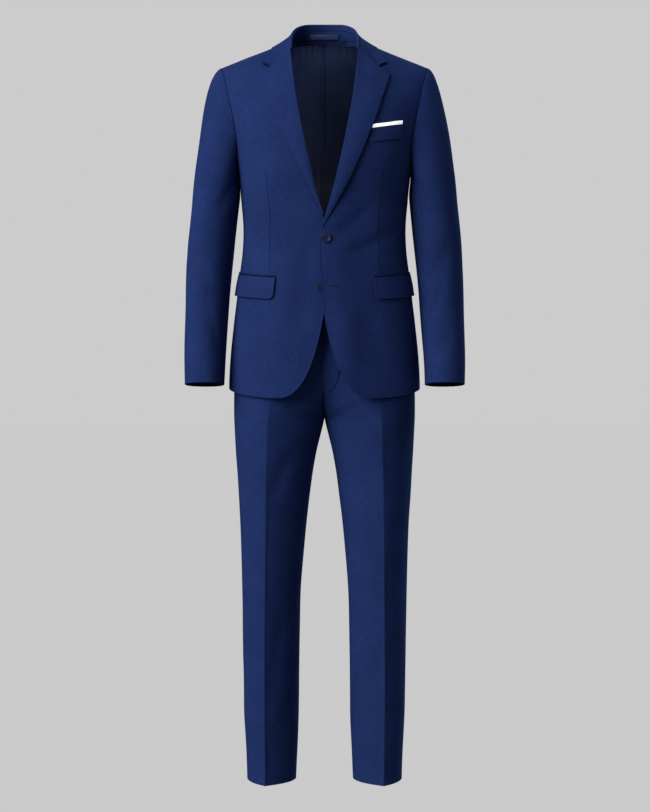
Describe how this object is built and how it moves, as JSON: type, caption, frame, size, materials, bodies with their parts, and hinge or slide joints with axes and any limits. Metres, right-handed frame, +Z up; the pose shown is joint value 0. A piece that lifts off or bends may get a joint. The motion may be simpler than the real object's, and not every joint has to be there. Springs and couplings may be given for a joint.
{
  "type": "two-piece suit",
  "caption": "Tailored suit jacket with notch lapels, flap pockets and a breast-pocket strip, over creased trousers; hollow cloth filled out as worn.",
  "frame": {"origin": "the nape: the neck seam at the centre of the jacket's back, where the suit hangs from its wearer", "axes": "+Z up, the front faces -Y, +X is the wearer's left"},
  "size_m": [0.5784, 0.2639, 1.577],
  "materials": {
    "suiting": "matt fine worsted wool",
    "lining_satin": "satin",
    "light_cotton": "plain matt cotton",
    "button_horn": "polished dark resin"
  },
  "bodies": {
    "root": {"front_right": "suiting", "front_left": "suiting", "side_right": "suiting", "side_left": "suiting", "back_right": "suiting", "back_left": "suiting", "lapel_right": "suiting", "lapel_left": "suiting", "collar_fall": "suiting", "collar_stand": "suiting", "neck_facing": "suiting", "lining_right": "lining_satin", "lining_left": "lining_satin", "hanger_loop": "lining_satin", "top_sleeve_right": "suiting", "under_sleeve_right": "suiting", "top_sleeve_left": "suiting", "under_sleeve_left": "suiting", "breast_welt": "suiting", "pocket_square": "light_cotton", "jet_right": "suiting", "jet_left": "suiting", "flap_right": "suiting", "flap_left": "suiting", "button_top": "button_horn", "button_low": "button_horn", "trouser_front_right": "suiting", "trouser_front_left": "suiting", "trouser_back_right": "suiting", "trouser_back_left": "suiting", "waistband_right": "suiting", "waistband_left": "suiting", "fly": "suiting"}
  },
  "joints": []
}
